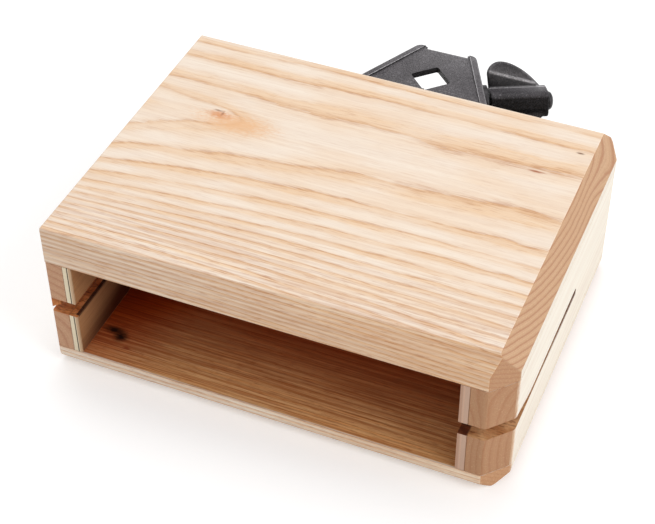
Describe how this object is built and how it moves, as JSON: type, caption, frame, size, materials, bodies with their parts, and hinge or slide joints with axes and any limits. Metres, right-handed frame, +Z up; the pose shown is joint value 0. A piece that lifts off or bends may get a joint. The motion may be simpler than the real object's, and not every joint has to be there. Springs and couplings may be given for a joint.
{
  "type": "wood block",
  "caption": "Open-fronted wooden sound box with slotted end walls and a thick playing plate, carried on a cast bracket whose wing bolt clamps a stand rod in a square hole.",
  "frame": {"origin": "centre of the face that the box stands on", "axes": "+X along the box towards its chamfered end, +Y to the back, where the bracket is, +Z up"},
  "size_m": [0.2012, 0.2012, 0.076],
  "materials": {
    "ash": "sanded, thinly oiled",
    "ash_end_grain": "sanded end grain",
    "plywood": "sanded",
    "casting": "black crinkle paint",
    "black_steel": "blackened, satin",
    "zinc_steel": "zinc plated",
    "nylon": "moulded"
  },
  "bodies": {
    "box_and_bracket": {"top_plate": "ash", "bottom_plate": "ash", "back_wall": "ash", "left_wall": "ash_end_grain", "right_wall": "ash_end_grain", "left_liner": "plywood", "right_liner": "plywood", "bracket": "casting", "bracket_screw_1": "black_steel", "bracket_screw_2": "black_steel", "bracket_screw_3": "black_steel", "bracket_screw_4": "black_steel", "thread_bush": "zinc_steel"},
    "foot": {"pressure_foot": "nylon"},
    "wing_bolt": {"clamp_bolt": "black_steel", "wing_handle": "casting", "end_cap": "black_steel"}
  },
  "joints": [
    {"name": "foot_travel", "type": "slide", "parent": "box_and_bracket", "child": "foot", "axis": [0.8988, 0.4384, 0], "range_m": [-0.00078, 0.00847]},
    {"name": "bolt_turn", "type": "hinge", "parent": "foot", "child": "wing_bolt", "pos_m": [0.0061, 0.0945, 0.05065], "axis": [0.8988, 0.4384, 0], "range_deg": [-225, 2440]}
  ],
  "couplings": [
    {"joint": "bolt_turn", "follows": "foot_travel", "rad_per_m": 5026.5}
  ]
}
